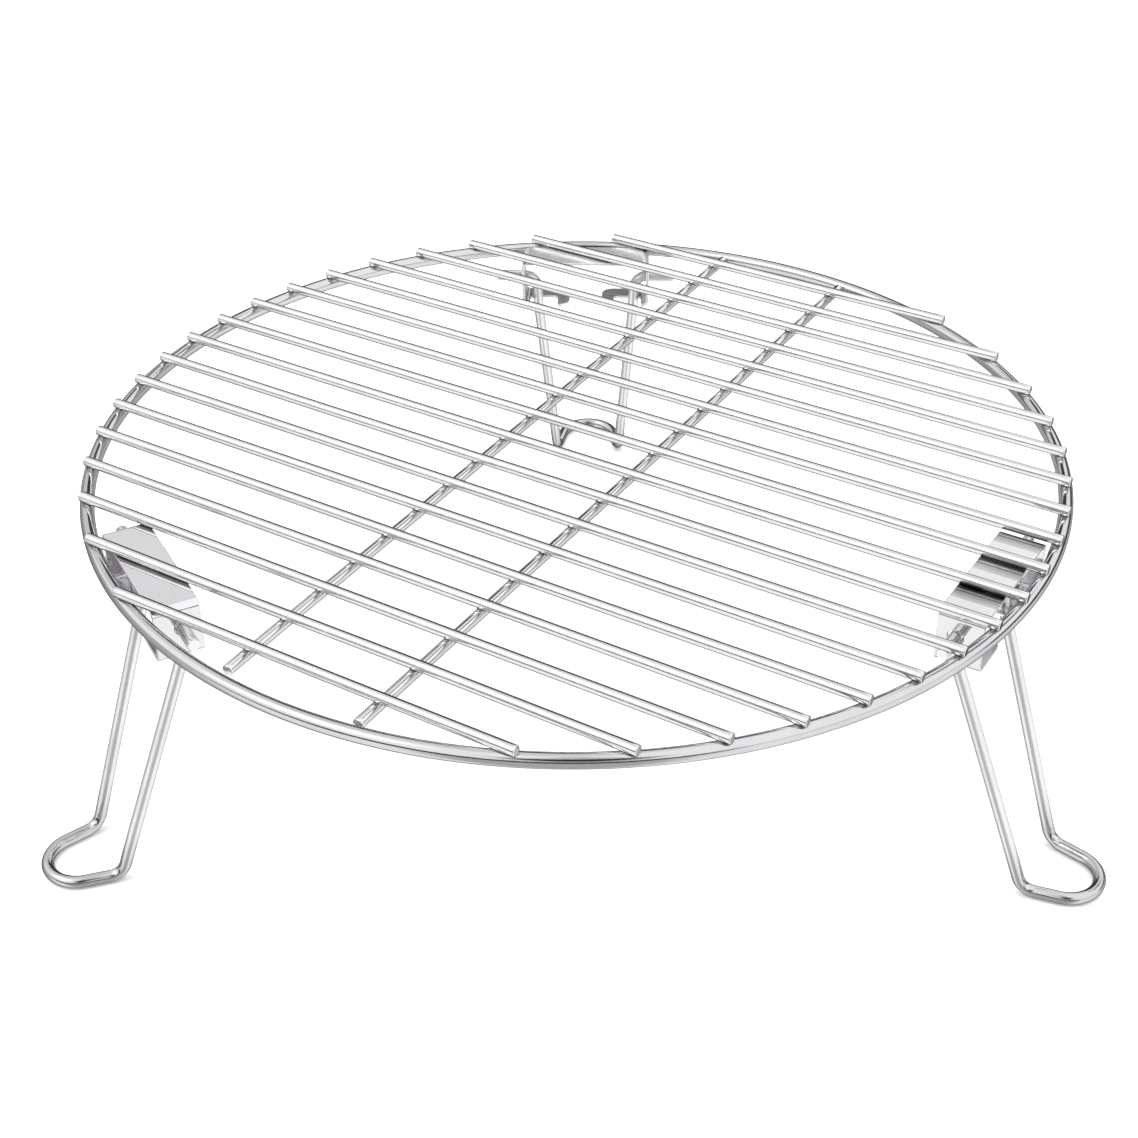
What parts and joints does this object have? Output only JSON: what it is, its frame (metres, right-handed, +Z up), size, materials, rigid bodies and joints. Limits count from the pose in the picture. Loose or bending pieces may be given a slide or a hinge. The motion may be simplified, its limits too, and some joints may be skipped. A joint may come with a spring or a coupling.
{
  "type": "folding camp grill",
  "caption": "Round stainless wire cooking grate on three wire legs with looped feet that fold in flat under it, each hung in a bent sheet bracket.",
  "frame": {"origin": "centre of the footprint's bounding box, on the surface that the feet stand on", "axes": "+Z up; X along the grid bars, +X towards the leg called right; the legs called back and left are 120 degrees either side of it"},
  "size_m": [0.393, 0.377, 0.12],
  "materials": {
    "grate_wire": "bright drawn stainless wire, electropolished, with faint lengthwise drawing lines and darker spot welds",
    "leg_wire": "satin drawn stainless wire, polished on the foot loops, cut square at the stubs",
    "bracket_sheet": "mirror-bright stainless sheet with softened bends and edges"
  },
  "bodies": {
    "grate": {"hoop": "grate_wire", "grid_bar_01": "grate_wire", "grid_bar_02": "grate_wire", "grid_bar_03": "grate_wire", "grid_bar_04": "grate_wire", "grid_bar_05": "grate_wire", "grid_bar_06": "grate_wire", "grid_bar_07": "grate_wire", "grid_bar_08": "grate_wire", "grid_bar_09": "grate_wire", "grid_bar_10": "grate_wire", "grid_bar_11": "grate_wire", "grid_bar_12": "grate_wire", "grid_bar_13": "grate_wire", "grid_bar_14": "grate_wire", "grid_bar_15": "grate_wire", "grid_bar_16": "grate_wire", "grid_bar_17": "grate_wire", "grid_bar_18": "grate_wire", "cross_bar_left": "grate_wire", "cross_bar_right": "grate_wire", "bracket_right": "bracket_sheet", "bracket_back": "bracket_sheet", "bracket_left": "bracket_sheet"},
    "leg_right": {"leg_right": "leg_wire"},
    "leg_back": {"leg_back": "leg_wire"},
    "leg_left": {"leg_left": "leg_wire"}
  },
  "joints": [
    {"name": "leg_right_fold", "type": "hinge", "parent": "grate", "child": "leg_right", "pos_m": [0.14069, 0, 0.10712], "axis": [0, 1, 0], "range_deg": [0, 105]},
    {"name": "leg_back_fold", "type": "hinge", "parent": "grate", "child": "leg_back", "pos_m": [-0.09886, 0.1383, 0.10712], "axis": [-0.866, -0.5, 0], "range_deg": [0, 105]},
    {"name": "leg_left_fold", "type": "hinge", "parent": "grate", "child": "leg_left", "pos_m": [-0.09886, -0.1383, 0.10712], "axis": [0.866, -0.5, 0], "range_deg": [0, 105]}
  ]
}
